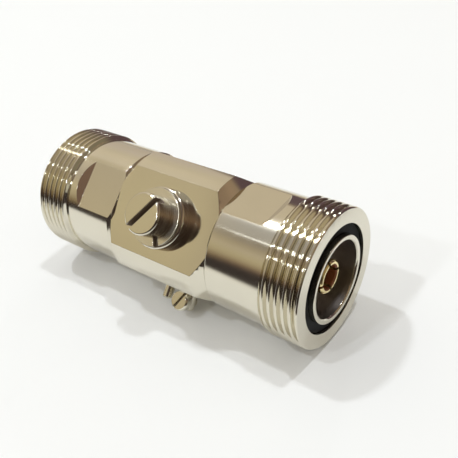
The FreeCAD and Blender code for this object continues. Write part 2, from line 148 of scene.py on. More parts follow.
# Where one of them gives way to the next, as parts of a mirrored ray's unit direction.
MIDDLE_FADE, AHEAD_FADE = (-0.585, -0.515), (0.38, 0.52)
BEHIND_FADE, ASIDE_FADE = (0.64, 0.80), (-0.15, 0.05)
ASIDE_START, ASIDE_GAIN = 0.5, 2.0

# The table: its own colour, what the metal sees past its back, front and right edges, how far
# the front edge slants, and where each fade ends as a share of the edge's distance.
TABLE_WHITE = (0.90, 0.90, 0.89, 1.0)
PAST_BACK, PAST_FRONT = (0.66, 0.58, 0.45), (0.050, 0.040, 0.037)
PAST_RIGHT, FARTHER_RIGHT = (0.075, 0.055, 0.050), (0.20, 0.165, 0.125)
FRONT_SLANT = 0.38
FRONT_END, RIGHT_END, BACK_END, FARTHER_FADE, BEHIND_END = 1.6, 1.15, 1.6, (2.6, 4.0), 2.4

# The colours of the lamps and of the even light, and the middle of the line, in metres.
LAMP_COLOUR, AIR_COLOUR = (0.89, 0.94, 1.0), (1.0, 0.955, 0.86, 1.0)
MIDDLE_X = -0.035
MIDDLE = Vector((MIDDLE_X, 0.0, 0.0))

# How far handling changes a finish: the tone of its darker patches, the change of roughness, as
# a share of it for metal, and how fine the patches are.
METAL_DARKER, METAL_CHANGE = 0.92, 0.5
DULL_DARKER, DULL_CHANGE, DULL_SCALE = 0.85, 0.15, 700.0
# Dark copper-red that paints the shade inside the contacts' holes.
CONTACT_BORE_SHADE = (0.20, 0.06, 0.018)

# The camera, fitted to the photograph: its place in metres, its axes, and its sensor.
CAMERA_PLACE = (0.0451, -0.08508, 0.07862)
CAMERA_RIGHT, CAMERA_BACK = (0.7988, 0.5971, -0.0733), (0.5263, -0.6347, 0.5659)
SENSOR_WIDTH, CLIP_START = 36.0, 0.005


def colour_property(name, description, default):
    """A colour that the panel can change."""
    return FloatVectorProperty(name=name, description=description, default=default,
                               subtype="COLOR", size=4, min=0.0, max=1.0)


class ThreadSizes(bpy.types.PropertyGroup):
    """Form of the coupling threads."""

    pitch: FloatProperty(name="Pitch", description="Distance between crests, in millimetres",
                         default=1.5, min=0.5, max=3.0)
    crest_radius: FloatProperty(name="Crest radius",
                                description="Radius of the crests, in millimetres",
                                default=14.5, min=5.0, max=30.0)
    depth: FloatProperty(name="Depth", description="Crest to root, in millimetres",
                         default=0.9, min=0.1, max=2.0)
    crest_share: FloatProperty(name="Crest width", description="Flat top as a share of the pitch",
                               default=0.12, min=0.0, max=0.5, subtype="FACTOR")
    root_share: FloatProperty(name="Root width", description="Rounded root as a share of the pitch",
                              default=0.12, min=0.0, max=0.5, subtype="FACTOR")
    flank_easing: FloatProperty(name="Flank easing",
                                description="Rounded share of each flank's ends",
                                default=0.32, min=0.05, max=0.5, subtype="FACTOR")
    around: IntProperty(name="Steps around", description="Vertices round each turn",
                        default=240, min=32, max=512)
    per_pitch: IntProperty(name="Steps per pitch", description="Vertices across one thread",
                           default=36, min=6, max=40)


class PlatingColours(bpy.types.PropertyGroup):
    """Colours and smoothness of the finishes."""

    nickel: colour_property("Nickel", "Bright nickel plate", (0.74, 0.70, 0.585, 1.0))
    gold: colour_property("Gold", "Gold plate of the contacts", (0.94, 0.80, 0.42, 1.0))
    silver: colour_property("Silver", "Plate of the inner conductor", (0.85, 0.84, 0.80, 1.0))
    rubber: colour_property("Rubber", "Ring in the groove", (0.006, 0.006, 0.008, 1.0))
    insulator: colour_property("Insulator", "Beads that hold the contacts", (0.80, 0.79, 0.75, 1.0))
    ceramic: colour_property("Ceramic", "Wall of the gas tube", (0.80, 0.76, 0.66, 1.0))
    # Nickel darkened to paint the shade deep in the sleeves' bores.
    bore_shade: colour_property("Bore", "Nickel darkened as painted shade deep in the bores", (0.62, 0.56, 0.52, 1.0))
    # A dark dull colour that paints the shade in the cap's slot, the washer's gap and under the
    # washer.
    recess_shade: colour_property("Recess", "Dark film in slots", (0.16, 0.115, 0.075, 1.0))
    flat_roughness: FloatProperty(name="Flat roughness", description="Roughness of milled faces",
                                  default=0.08, min=0.0, max=1.0, subtype="FACTOR")
    turned_roughness: FloatProperty(name="Turned roughness",
                                    description="Roughness of turned faces",
                                    default=0.13, min=0.0, max=1.0, subtype="FACTOR")


class StageSizes(bpy.types.PropertyGroup):
    """Table, lamps and camera."""

    table_reach: FloatProperty(name="Table", description="Half of the table's width",
                               default=0.9, min=0.2, max=5.0, unit="LENGTH")
    table_edge: FloatProperty(name="Table edge", description="Where the white table ends in front, "
                              "as the metal mirrors it",
                              default=0.036, min=0.0, max=1.0, unit="LENGTH")
    table_side: FloatProperty(name="Table side", description="Where it ends on the right",
                              default=0.0205, min=0.0, max=1.0, unit="LENGTH")
    table_back: FloatProperty(name="Table back", description="Where it ends behind",
                              default=0.12, min=0.0, max=1.0, unit="LENGTH")
    lens: FloatProperty(name="Lens", description="Focal length on a 36 mm sensor, in millimetres",
                        default=50.137, min=10.0, max=200.0)
    lamp_radiance: FloatProperty(name="Lamp radiance", description="Radiance of the ceiling lamps",
                                 default=250.0, min=0.0, max=900.0)
    air_light: FloatProperty(name="Room light", description="Even light on dull surfaces",
                             default=0.55, min=0.0, max=5.0)


# ---- meshes ----

def new_piece(name, mesh, body, replaced=()):
    """A visible piece on one body and the nodes that it replaces."""
    piece = bpy.data.objects.new(name, mesh)
    bpy.context.scene.collection.objects.link(piece)
    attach(piece, body)
    if replaced:
        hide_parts(*replaced)
    return piece


def finish_mesh(name, bm, sharp_degrees=SMOOTH_ANGLE):
    """Makes a mesh with smooth faces whose edges stay crisp above the given angle."""
    bmesh.ops.recalc_face_normals(bm, faces=bm.faces)
    mesh = bpy.data.meshes.new(name)
    bm.to_mesh(mesh)
    bm.free()
    mesh.shade_smooth()
    mesh.set_sharp_from_angle(angle=math.radians(sharp_degrees))
    return mesh


def weigh_normals(piece, vertices=()):
    """Keeps large flats flat in shading, so that only the broken edges look round."""
    even = piece.modifiers.new("even_flats", "WEIGHTED_NORMAL")
    even.weight, even.keep_sharp = 100, True
    if vertices:
        piece.vertex_groups.new(name="plain").add(vertices, 1.0, "REPLACE")
        even.vertex_group = "plain"


def break_edges(bm, width, degrees=EDGE_ANGLE, keep=None):
    """Rounds the edges where two faces meet at more than the given angle."""
    sharp = [edge for edge in bm.edges
             if len(edge.link_faces) == 2 and edge.calc_face_angle(0.0) > math.radians(degrees)
             and (keep is None or keep(edge))]
    bmesh.ops.bevel(bm, geom=sharp, offset=width * MM, offset_type="OFFSET", segments=2,
                    profile=0.5, affect="EDGES", clamp_overlap=True)


def eased_node(node, width, body):
    """The node's own form with its edges broken, as a tumbled and plated piece has them."""
    bm = bmesh.new()
    bm.from_mesh(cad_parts[node].data)
    bmesh.ops.remove_doubles(bm, verts=bm.verts, dist=NODE_MERGE)
    bmesh.ops.dissolve_limit(bm, angle_limit=math.radians(NODE_FLATNESS), verts=bm.verts,
                             edges=bm.edges)
    break_edges(bm, width)
    piece = new_piece(node + "_eased", finish_mesh(node + "_eased", bm), body, [node])
    weigh_normals(piece)
    return piece


def slim_spring():
    """The contact spring a little narrower, which leaves through the bushing with the cap."""
    bm = bmesh.new()
    bm.from_mesh(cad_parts["contact_spring"].data)
    foot = Vector((CAP_PLACE * MM, 0.0, 0.0))
    for vertex in bm.verts:
        middle = foot + PORT_WAY * (vertex.co - foot).dot(PORT_WAY)
        vertex.co = middle + (vertex.co - middle) * SPRING_SHARE
    return new_piece("contact_spring_slim", finish_mesh("contact_spring_slim", bm), "cap_lift",
                     ["contact_spring"])


def eased_step(share, easing):
    """Straight rise from 0 to 1 whose two ends are rounded over the given share of it."""
    share = min(max(share, 0.0), 1.0)
    if share > 0.5:
        return 1.0 - eased_step(1.0 - share, easing)
    rise = 1.0 / (1.0 - easing)
    if share < easing:
        return rise * share * share / (2.0 * easing)
    return rise * (share - easing / 2.0)


def thread_radius(sizes, depth, turn):
    """Radius at a depth behind the mating face, on a right-hand thread that fades in and out."""
    phase = (depth / sizes.pitch - turn) % 1.0
    away = min(phase, 1.0 - phase) * 2.0
    flank = (away - sizes.crest_share) / (1.0 - sizes.crest_share - sizes.root_share)
    fall = eased_step(flank, sizes.flank_easing)
    fade_in = min(max((depth - FADE_IN) / FADE_IN_LENGTH, 0.0), 1.0)
    cut = sizes.depth * fall * fade_in
    run_out = max(depth - THREAD_LENGTH, 0.0) / RUN_OUT * BARREL_DROP
    lead_in = max(LEAD_IN - depth, 0.0)
    return sizes.crest_radius - max(cut, run_out, lead_in)


def rounded_profile(corners, radius):
    """Replaces each corner of an open outline of (along, radius) points by a small arc."""
    points = [corners[0]]
    for before, here, after in zip(corners, corners[1:], corners[2:]):
        here_v, ways = Vector(here), []
        for other in (before, after):
            way = Vector(other) - here_v
            ways.append(way.normalized() * min(radius, way.length * ARC_LIMIT))
        start, end = here_v + ways[0], here_v + ways[1]
        for share in ARC_SHARES:
            bent = start * (1 - share) ** 2 + here_v * 2 * share * (1 - share) + end * share ** 2
            points.append((bent.x, bent.y))
    points.append(corners[-1])
    return points


def shell_mesh(name, side, sizes):
    """Threaded barrel, groove, sleeve and spigot turned from one outline, then the two flats."""
    steps = sizes.around
    rows = int(RUN_OUT_END / sizes.pitch * sizes.per_pitch) + sizes.per_pitch + 2
    body = rounded_profile(SHELL_OUTLINE, CORNER_ARC)[1:-1]
    bm = bmesh.new()
    columns = []
    for step in range(steps):
        turn = step / steps
        column = []
        for row in range(rows):
            depth = min(max((row / sizes.per_pitch - 1.0 + turn) * sizes.pitch, 0.0), RUN_OUT_END)
            column.append((depth, thread_radius(sizes, depth, turn)))
        column += body
        ring = []
        for depth, radius in column:
            angle = turn * math.tau
            ring.append(bm.verts.new((depth * MM, radius * math.cos(angle) * MM,
                                      radius * math.sin(angle) * MM)))
        columns.append(ring)
    for step in range(steps):
        here, there = columns[step], columns[(step + 1) % steps]
        if step == steps - 1:  # the helix has climbed one pitch by the last column
            there = there[sizes.per_pitch:rows] + [there[rows - 1]] * sizes.per_pitch + there[rows:]
        count = len(here)
        for row in range(count):
            corners = [here[row], here[(row + 1) % count], there[(row + 1) % count], there[row]]
            if len(set(corners)) >= 3:
                unique = list(dict.fromkeys(corners))
                if bm.faces.get(unique) is None:
                    bm.faces.new(unique)
    bmesh.ops.remove_doubles(bm, verts=bm.verts, dist=TURNED_MERGE)
    mesh = finish_mesh(name, bm, SHELL_SMOOTH_ANGLE)
    cut_flats(mesh, name)
    ease_flats(mesh)
    start, spin = (0.0, math.pi) if side == "near" else (-LINE_LENGTH * MM, 0.0)
    tilt = Matrix.Rotation(math.radians(90.0 - FLAT_TURN[side]), 4, "X")
    mesh.transform(Matrix.Translation((start, 0, 0)) @ tilt @ Matrix.Rotation(spin, 4, "Z"))
    return mesh


def cut_flats(mesh, name):
    """Takes the two wrench flats off the barrel with a long wedge-ended cutter each."""
    bm = bmesh.new()
    for sign in (1.0, -1.0):
        ends = [[bm.verts.new((along * MM, across * MM, sign * up * MM))
                 for along, up in FLAT_OUTLINE] for across in (-CUTTER_REACH, CUTTER_REACH)]
        bm.faces.new(ends[0])
        bm.faces.new(ends[1][::-1])
        for index in range(len(FLAT_OUTLINE)):
            after = (index + 1) % len(FLAT_OUTLINE)
            bm.faces.new([ends[0][index], ends[1][index], ends[1][after], ends[0][after]])
    cutter = bpy.data.objects.new(name + "_cutter", finish_mesh(name + "_cutter", bm))
    shell = bpy.data.objects.new(name + "_blank", mesh)
    for item in (cutter, shell):
        bpy.context.scene.collection.objects.link(item)
    boolean = shell.modifiers.new("flats", "BOOLEAN")
    boolean.operation, boolean.solver, boolean.object = "DIFFERENCE", "EXACT", cutter
    bpy.context.view_layer.update()
    graph = bpy.context.evaluated_depsgraph_get()
    cut = bpy.data.meshes.new_from_object(shell.evaluated_get(graph))
    bm = bmesh.new()
    bm.from_mesh(cut)
    bm.to_mesh(mesh)
    bm.free()
    bpy.data.meshes.remove(cut)
    for item in (cutter, shell):
        bpy.data.objects.remove(item)


def ease_flats(mesh):
    """Breaks the edges that the flats leave on the barrel."""
    bm = bmesh.new()
    bm.from_mesh(mesh)
    bmesh.ops.remove_doubles(bm, verts=bm.verts, dist=CUT_MERGE)
    back = [vertex for vertex in bm.verts if vertex.co.x > PLAIN_FROM * MM]
    chosen = set(back)
    bmesh.ops.dissolve_limit(bm, angle_limit=math.radians(CUT_FLATNESS), verts=back, edges=[
        edge for edge in bm.edges if chosen.issuperset(edge.verts)])

    def on_flat(edge):
        """On the rim of a flat."""
        middle = (edge.verts[0].co + edge.verts[1].co) / (2 * MM)
        reach = math.hypot(middle.y, middle.z)
        return (FLAT_DEPTHS[0] < middle.x < FLAT_DEPTHS[1]
                and FLAT_RADII[0] < reach < FLAT_RADII[1])

    break_edges(bm, FLAT_EDGE, FLAT_EDGE_ANGLE, on_flat)
    bm.to_mesh(mesh)
    bm.free()
    mesh.shade_smooth()
    mesh.set_sharp_from_angle(angle=math.radians(SHELL_SMOOTH_ANGLE))


# ---- materials ----

def add_node(tree, kind, at, **values):
    """A node with its inputs set by socket name, or its own settings by attribute name."""
    node = tree.nodes.new(kind)
    node.location = at
    for key, value in values.items():
        if hasattr(node, key):
            setattr(node, key, value)
        else:
            node.inputs[key.replace("_", " ")].default_value = value
    return node


def add_ramp(tree, at, stops):
    """A colour ramp with the given (position, colour) stops."""
    node = add_node(tree, "ShaderNodeValToRGB", at)
    ramp = node.color_ramp
    while len(ramp.elements) < len(stops):
        ramp.elements.new(0.5)
    for element, (position, colour) in zip(ramp.elements, stops):
        element.position = position
        element.color = (*colour, 1.0)
    return node


def add_maths(tree, at, operation, *values):
    """A Math node on sockets or numbers; gives its output."""
    node = add_node(tree, "ShaderNodeMath", at, operation=operation)
    for socket, value in zip(node.inputs, values):
        if isinstance(value, float):
            socket.default_value = value
        else:
            tree.links.new(value, socket)
    return node.outputs[0]


def add_fade(tree, at, value, low, high):
    """Goes smoothly from 0 at low to 1 at high."""
    node = add_node(tree, "ShaderNodeMapRange", at, interpolation_type="SMOOTHSTEP")
    node.inputs["From Min"].default_value = low
    node.inputs["From Max"].default_value = high
    tree.links.new(value, node.inputs["Value"])
    return node.outputs[0]


def add_mix(tree, at, factor, first, second):
    """Mixes two colours, each given as a socket or as a colour."""
    node = add_node(tree, "ShaderNodeMix", at, data_type="RGBA")
    tree.links.new(factor, node.inputs["Factor"])
    for label, value in (("A", first), ("B", second)):
        if isinstance(value, tuple):
            node.inputs[label].default_value = (*value, 1.0)
        else:
            tree.links.new(value, node.inputs[label])
    return node.outputs["Result"]


def add_bump(tree, height, distance, shader):
    """Turns a height of the given size, in millimetres, into the shader's normal."""
    bump = add_node(tree, "ShaderNodeBump", (-120, -240), Strength=1.0, Distance=distance * MM)
    tree.links.new(height, bump.inputs["Height"])
    tree.links.new(bump.outputs["Normal"], shader.inputs["Normal"])


def make_group(name, inputs, outputs):
    """An empty shader node group with named sockets; inputs come with their defaults."""
    group = bpy.data.node_groups.new(name, "ShaderNodeTree")
    for label, kind, default in inputs:
        socket = group.interface.new_socket(name=label, in_out="INPUT", socket_type=kind)
        socket.default_value = default
    for label, kind in outputs:
        group.interface.new_socket(name=label, in_out="OUTPUT", socket_type=kind)
    enter = add_node(group, "NodeGroupInput", (-900, 0))
    leave = add_node(group, "NodeGroupOutput", (500, 0))
    return group, enter, leave


def tool_marks_group():
    """Fine rings that a turning tool leaves round an axis, and their height."""
    group, enter, leave = make_group(
        "Tool marks",
        [("Rings per mm", "NodeSocketFloat", 6.0), ("Wander", "NodeSocketFloat", 0.3),
         ("Axis", "NodeSocketVector", (1.0, 0.0, 0.0))],
        [("Height", "NodeSocketFloat")])
    link = group.links.new
    where = add_node(group, "ShaderNodeTexCoord", (-900, 260))
    along = add_node(group, "ShaderNodeVectorMath", (-720, 260), operation="DOT_PRODUCT")
    link(where.outputs["Object"], along.inputs[0])
    link(enter.outputs["Axis"], along.inputs[1])
    in_mm = add_maths(group, (-540, 260), "MULTIPLY", along.outputs["Value"], 1.0 / MM)
    rings = add_maths(group, (-360, 260), "MULTIPLY", in_mm, enter.outputs["Rings per mm"])
    shift = add_node(group, "ShaderNodeTexNoise", (-540, 20), Scale=90.0)
    link(where.outputs["Object"], shift.inputs["Vector"])
    place = add_maths(group, (-180, 60), "MULTIPLY_ADD", shift.outputs["Fac"],
                      enter.outputs["Wander"], rings)
    lines = add_node(group, "ShaderNodeTexNoise", (40, 160), noise_dimensions="1D",
                     Scale=1.0, Detail=3.0)
    link(place, lines.inputs["W"])
    link(lines.outputs["Fac"], leave.inputs["Height"])
    return group


def handling_group():
    """Slow changes of smoothness and tone, such as finger marks and thin plating."""
    group, enter, leave = make_group(
        "Handling",
        [("Scale", "NodeSocketFloat", 120.0), ("Amount", "NodeSocketFloat", 0.05),
         ("Base", "NodeSocketFloat", 0.2)],
        [("Roughness", "NodeSocketFloat"), ("Mask", "NodeSocketFloat")])
    link = group.links.new
    where = add_node(group, "ShaderNodeTexCoord", (-900, 260))
    patches = add_node(group, "ShaderNodeTexNoise", (-540, 160), Detail=5.0, Roughness=0.62)
    link(where.outputs["Object"], patches.inputs["Vector"])
    link(enter.outputs["Scale"], patches.inputs["Scale"])
    centred = add_maths(group, (-320, 160), "SUBTRACT", patches.outputs["Fac"], 0.5)
    varied = add_maths(group, (-120, 100), "MULTIPLY_ADD", centred, enter.outputs["Amount"],
                       enter.outputs["Base"])
    link(varied, leave.inputs["Roughness"])
    link(patches.outputs["Fac"], leave.inputs["Mask"])
    return group


def start_finish(name, colour, darker, roughness, amount):
    """A Principled shader whose tone and roughness change slowly over the surface."""
    material = bpy.data.materials.new(name)
    material.use_nodes = True
    tree = material.node_tree
    tree.nodes.clear()
    link = tree.links.new
    shader = add_node(tree, "ShaderNodeBsdfPrincipled", (200, 0))
    out = add_node(tree, "ShaderNodeOutputMaterial", (500, 0))
    link(shader.outputs[0], out.inputs[0])
    handled = add_node(tree, "ShaderNodeGroup", (-400, 0), node_tree=GROUPS["handling"])
    handled.inputs["Base"].default_value = roughness
    handled.inputs["Amount"].default_value = amount
    link(handled.outputs["Roughness"], shader.inputs["Roughness"])
    tone = add_mix(tree, (-120, 200), handled.outputs["Mask"],
                   tuple(part * darker for part in colour[:3]), tuple(colour[:3]))
    link(tone, shader.inputs["Base Color"])
    return material, shader, handled


def metal(name, colour, roughness, rings=0.0, ring_height=0.0, axis=(1.0, 0.0, 0.0)):
    """Plated metal: handling marks in its roughness and tone, tool rings in its normal."""
    material, shader, _ = start_finish(name, colour, METAL_DARKER, roughness,
                                       roughness * METAL_CHANGE)
    shader.inputs["Metallic"].default_value = 1.0
    if rings:
        tree = material.node_tree
        marks = add_node(tree, "ShaderNodeGroup", (-400, -240), node_tree=GROUPS["marks"])
        marks.inputs["Rings per mm"].default_value = rings
        marks.inputs["Axis"].default_value = axis
        add_bump(tree, marks.outputs["Height"], ring_height, shader)
    return material


def dull(name, colour, roughness, specular, grain):
    """Rubber, plastic, ceramic, or painted shade for recesses, with a fine grain."""
    material, shader, handled = start_finish(name, colour, DULL_DARKER, roughness, DULL_CHANGE)
    shader.inputs["Specular IOR Level"].default_value = specular
    handled.inputs["Scale"].default_value = DULL_SCALE
    add_bump(material.node_tree, handled.outputs["Mask"], grain, shader)
    return material


def from_port(point, turn):
    """Height over the line in the port's direction, then along and across a turned slot."""
    spin = math.radians(turn)
    away = point - Vector((CAP_PLACE, 0.0, 0.0))
    right, over = away.x, away.dot(PORT_UP)
    return (away.dot(PORT_WAY), right * math.cos(spin) + over * math.sin(spin),
            over * math.cos(spin) - right * math.sin(spin))


def in_cap_recess(point):
    """In the cap screw's slot or on the foot of its shank, where shade is painted."""
    height, _, across = from_port(point, CAP_SLOT_TURN)
    return height < CAP_SHANK_TOP or (
        CAP_SLOT_FACES[0] < height < CAP_SLOT_FACES[1] and abs(across) < CAP_SLOT_HALF)


def in_washer_gap(point):
    """On the two ends of the split washer, where the shade in its gap is painted."""
    height, along, across = from_port(point, WASHER_GAP_TURN)
    return (WASHER_FACES[0] < height < WASHER_FACES[1] and along > WASHER_GAP_FROM
            and abs(across) < WASHER_GAP_HALF)


def under_washer(point):
    """On top of the bushing, where the washer hides it and shade is painted."""
    return from_port(point, 0.0)[0] > WASHER_FOOT


def in_contact_bore(point):
    """Inside a contact's hole, where shade is painted."""
    return math.hypot(point.y, point.z) < CONTACT_BORE


def shell_place(point, side):
    """Depth behind a shell's mating face and radius, in millimetres."""
    start, way = (0.0, 1.0) if side == "near" else (-LINE_LENGTH, -1.0)
    return (start - point.x / MM) * way, math.hypot(point.y, point.z) / MM


def film_faces(piece, test):
    """Gives the second material, the painted shade, to the faces whose middle, in millimetres,
    passes the test.
    """
    for face in piece.data.polygons:
        if test(face.center / MM):
            face.material_index = 1


def dress(item, *materials):
    """Gives a piece its materials, in the order of its faces' indices."""
    item.data.materials.clear()
    for material in materials:
        item.data.materials.append(material)


GROUPS, FINISHES = {}, {}


# ---- operators ----

class ARRESTOR_OT_finishes(bpy.types.Operator):
    """Makes the shared node groups and every finish"""

    bl_idname = "arrestor.finishes"
    bl_label = "Make finishes"

    def execute(self, context):
        colours = context.scene.arrestor_plating
        GROUPS["marks"] = tool_marks_group()
        GROUPS["handling"] = handling_group()
        nickel = tuple(colours.nickel)
        turned, flat = colours.turned_roughness, colours.flat_roughness
        silver = tuple(colours.silver)
        FINISHES["turned nickel"] = metal("Turned nickel", nickel, roughness=turned, rings=7.0,
                                          ring_height=0.0006)
        FINISHES["milled nickel"] = metal("Milled nickel", nickel, roughness=flat, rings=3.0,
                                          ring_height=0.0006)
        FINISHES["thread nickel"] = metal("Thread nickel", nickel, roughness=0.08)
        FINISHES["bore nickel"] = metal("Bore nickel", tuple(colours.bore_shade), roughness=0.30,
                                        rings=4.0, ring_height=0.0006)
        FINISHES["small nickel"] = metal("Small nickel", nickel, roughness=turned, rings=5.0,
                                         ring_height=0.002, axis=tuple(PORT_WAY))
        FINISHES["gold"] = metal("Gold", tuple(colours.gold), roughness=0.18)
        FINISHES["contact bore"] = dull("Contact bore", CONTACT_BORE_SHADE, roughness=0.35,
                                        specular=0.5, grain=0.002)
        FINISHES["film"] = dull("Recess film", tuple(colours.recess_shade), roughness=0.5,
                                specular=0.4, grain=0.002)
        FINISHES["silver"] = metal("Silver", silver, roughness=0.25)
        FINISHES["spring steel"] = metal("Spring steel", nickel, roughness=0.24)
        FINISHES["electrode"] = metal("Electrode", silver, roughness=0.35)
        FINISHES["rubber"] = dull("Rubber", tuple(colours.rubber), roughness=0.55,
                                  specular=0.12, grain=0.01)
        FINISHES["insulator"] = dull("Insulator", tuple(colours.insulator), roughness=0.45,
                                     specular=0.4, grain=0.004)
        FINISHES["ceramic"] = dull("Ceramic", tuple(colours.ceramic), roughness=0.3,
                                   specular=0.5, grain=0.004)
        return {"FINISHED"}


class ARRESTOR_OT_connector_shells(bpy.types.Operator):
    """Turns both connector shells with their coupling threads, grooves and wrench flats"""

    bl_idname = "arrestor.connector_shells"
    bl_label = "Add connector shells"

    def execute(self, context):
        sizes = context.scene.arrestor_thread
        for side in ("near", "far"):
            name = f"{side}_threaded_shell"
            shell = new_piece(name, shell_mesh(name, side, sizes), "housing",
                              [f"{side}_connector_shell"])
            dress(shell, FINISHES["turned nickel"], FINISHES["thread nickel"],
                  FINISHES["bore nickel"])
            plain = []
            first, last = THREAD_VERTICES
            for vertex in shell.data.vertices:
                depth, radius = shell_place(vertex.co, side)
                if depth > last or depth < first or radius < THREAD_INNER:
                    plain.append(vertex.index)
            weigh_normals(shell, plain)
            # Thread faces take their own nickel; faces deep in the bores take the darker nickel,
            # painted shade.
            first, last = THREAD_FACES
            for face in shell.data.polygons:
                depth, radius = shell_place(face.center, side)
                if radius > THREAD_INNER and first < depth < last:
                    face.material_index = 1
                elif radius < BORE_OUTER and depth > BORE_START:
                    face.material_index = 2
        return {"FINISHED"}


class ARRESTOR_OT_centre_block(bpy.types.Operator):
    """Breaks the edges of the centre block and plates it"""

    bl_idname = "arrestor.centre_block"
    bl_label = "Add centre block"

    def execute(self, context):
        block = eased_node("centre_block", BLOCK_EDGE, "housing")
        dress(block, FINISHES["milled nickel"])
        return {"FINISHED"}


class ARRESTOR_OT_port(bpy.types.Operator):
    """Adds the port's bushing, the split washer and the slotted cap screw"""

    bl_idname = "arrestor.port"
    bl_label = "Add port and cap"

    def execute(self, context):
        # Each piece gets its finish, and the faces that its test picks get painted shade.
        for node, body, slot, finish, recess_shade in (
                ("port_bushing", "housing", "nickel_plate", "small nickel", under_washer),
                ("cap_spring_washer", "cap_lift", "spring_steel", "spring steel", in_washer_gap),
                ("cap_screw", "cap", "nickel_plate", "small nickel", in_cap_recess)):
            piece = eased_node(node, PORT_EDGE, body)
            dress(piece, FINISHES[finish], FINISHES["film"])
            film_faces(piece, recess_shade)
        dress(slim_spring(), FINISHES["spring steel"])
        return {"FINISHED"}


class ARRESTOR_OT_earth_terminal(bpy.types.Operator):
    """Adds the earth post with its clamp screw and the pin beside it"""

    bl_idname = "arrestor.earth_terminal"
    bl_label = "Add earth terminal"

    def execute(self, context):
        for node, width, body, slot, finish in (
                ("earth_post", POST_EDGE, "housing", "nickel_plate", "small nickel"),
                ("locating_pin", PIN_EDGE, "housing", "nickel_plate", "small nickel"),
                ("earth_spring_washer", SMALL_WASHER_EDGE, "earth_lift", "spring_steel",
                 "spring steel"),
                ("earth_screw", SMALL_SCREW_EDGE, "earth_clamp", "nickel_plate",
                 "small nickel")):
            dress(eased_node(node, width, body), FINISHES[finish])
        return {"FINISHED"}


class ARRESTOR_OT_contacts(bpy.types.Operator):
    """Adds the gold contacts and the black rings at both ends"""

    bl_idname = "arrestor.contacts"
    bl_label = "Add contacts and rings"

    def execute(self, context):
        for side in ("near", "far"):
            contact = eased_node(f"{side}_socket_contact", CONTACT_EDGE, "housing")
            # Gold outside; the faces inside the contact's hole get painted shade.
            dress(contact, FINISHES["gold"], FINISHES["contact bore"])
            film_faces(contact, in_contact_bore)
            gasket = eased_node(f"{side}_groove_gasket", GASKET_EDGE, "housing")
            dress(gasket, FINISHES["rubber"])
        return {"FINISHED"}


class ARRESTOR_OT_inner_pieces(bpy.types.Operator):
    """Gives the pieces inside the line their finishes"""

    bl_idname = "arrestor.inner_pieces"
    bl_label = "Finish inner pieces"

    def execute(self, context):
        inner = {
            "insulator": ("near_insulator_bead", "far_insulator_bead"),
            "small nickel": ("near_spacer_sleeve", "far_spacer_sleeve"),
            "rubber": ("near_joint_seal", "far_joint_seal"),
            "silver": ("inner_conductor",),
            "electrode": ("gas_tube_line_electrode", "gas_tube_cap_electrode"),
            "ceramic": ("gas_tube_ceramic",),
        }
        for finish, nodes in inner.items():
            for node in nodes:
                dress(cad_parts[node], FINISHES[finish])
        return {"FINISHED"}


class ARRESTOR_OT_stage(bpy.types.Operator):
    """Sets the table, the lamps, the room that the metal mirrors, and the camera"""

    bl_idname = "arrestor.stage"
    bl_label = "Set the stage"

    def execute(self, context):
        stage = context.scene.arrestor_stage
        add_table(stage)
        add_lamps(stage)
        add_room(stage, context.scene)
        add_camera(context.scene, stage)
        context.scene.view_settings.view_transform = "Standard"
        return {"FINISHED"}


